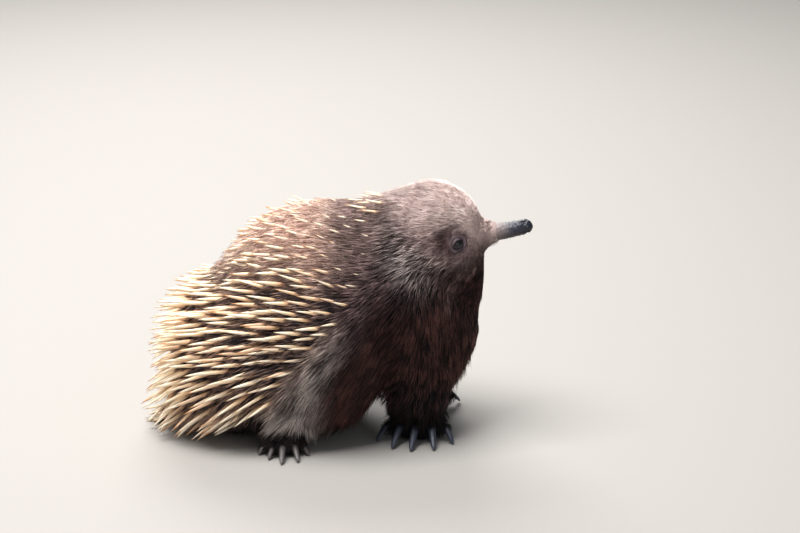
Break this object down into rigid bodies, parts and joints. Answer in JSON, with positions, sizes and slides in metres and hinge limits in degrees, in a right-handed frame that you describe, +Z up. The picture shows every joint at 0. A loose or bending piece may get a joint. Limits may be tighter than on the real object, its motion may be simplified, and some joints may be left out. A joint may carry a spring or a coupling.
{
  "type": "short-beaked echidna",
  "caption": "Still life-size echidna standing on clawed feet, rump low, head raised and slender beak held out, with a coat of spines over coarse hair.",
  "frame": {"origin": "middle of the model's footprint, at the level of its soles", "axes": "+Z up, +X towards the beak, +Y to the animal's left"},
  "size_m": [0.3036, 0.1858, 0.1989],
  "materials": {
    "spiny_coat": "pale horn spines tipped brown over coarse brown hair",
    "fur": "short soft grey-brown fur",
    "dark_fur": "coarse dark brown hair",
    "beak_skin": "bare grey skin, blue-black and moist at the tip",
    "claw": "blue-grey horn with fine grooves along it",
    "eye": "wet glossy black-brown"
  },
  "bodies": {
    "root": {"eye_right": "eye", "eye_left": "eye", "head": "fur", "beak": "beak_skin", "tail": "fur", "forefoot_right_claw_1": "claw", "forefoot_right_claw_2": "claw", "forefoot_right_claw_3": "claw", "forefoot_right_claw_4": "claw", "forefoot_right_claw_5": "claw", "forefoot_right": "dark_fur", "forefoot_left_claw_1": "claw", "forefoot_left_claw_2": "claw", "forefoot_left_claw_3": "claw", "forefoot_left_claw_4": "claw", "forefoot_left_claw_5": "claw", "forefoot_left": "dark_fur", "hindfoot_right_claw_1": "claw", "hindfoot_right_claw_2": "claw", "hindfoot_right_claw_3": "claw", "hindfoot_right_claw_4": "claw", "hindfoot_right_claw_5": "claw", "hindfoot_right": "dark_fur", "hindfoot_left_claw_1": "claw", "hindfoot_left_claw_2": "claw", "hindfoot_left_claw_3": "claw", "hindfoot_left_claw_4": "claw", "hindfoot_left_claw_5": "claw", "hindfoot_left": "dark_fur", "foreleg_right": "dark_fur", "foreleg_left": "dark_fur", "hindleg_right": "fur", "hindleg_left": "fur", "rump": "spiny_coat", "torso": "spiny_coat", "neck": "fur"}
  },
  "joints": []
}
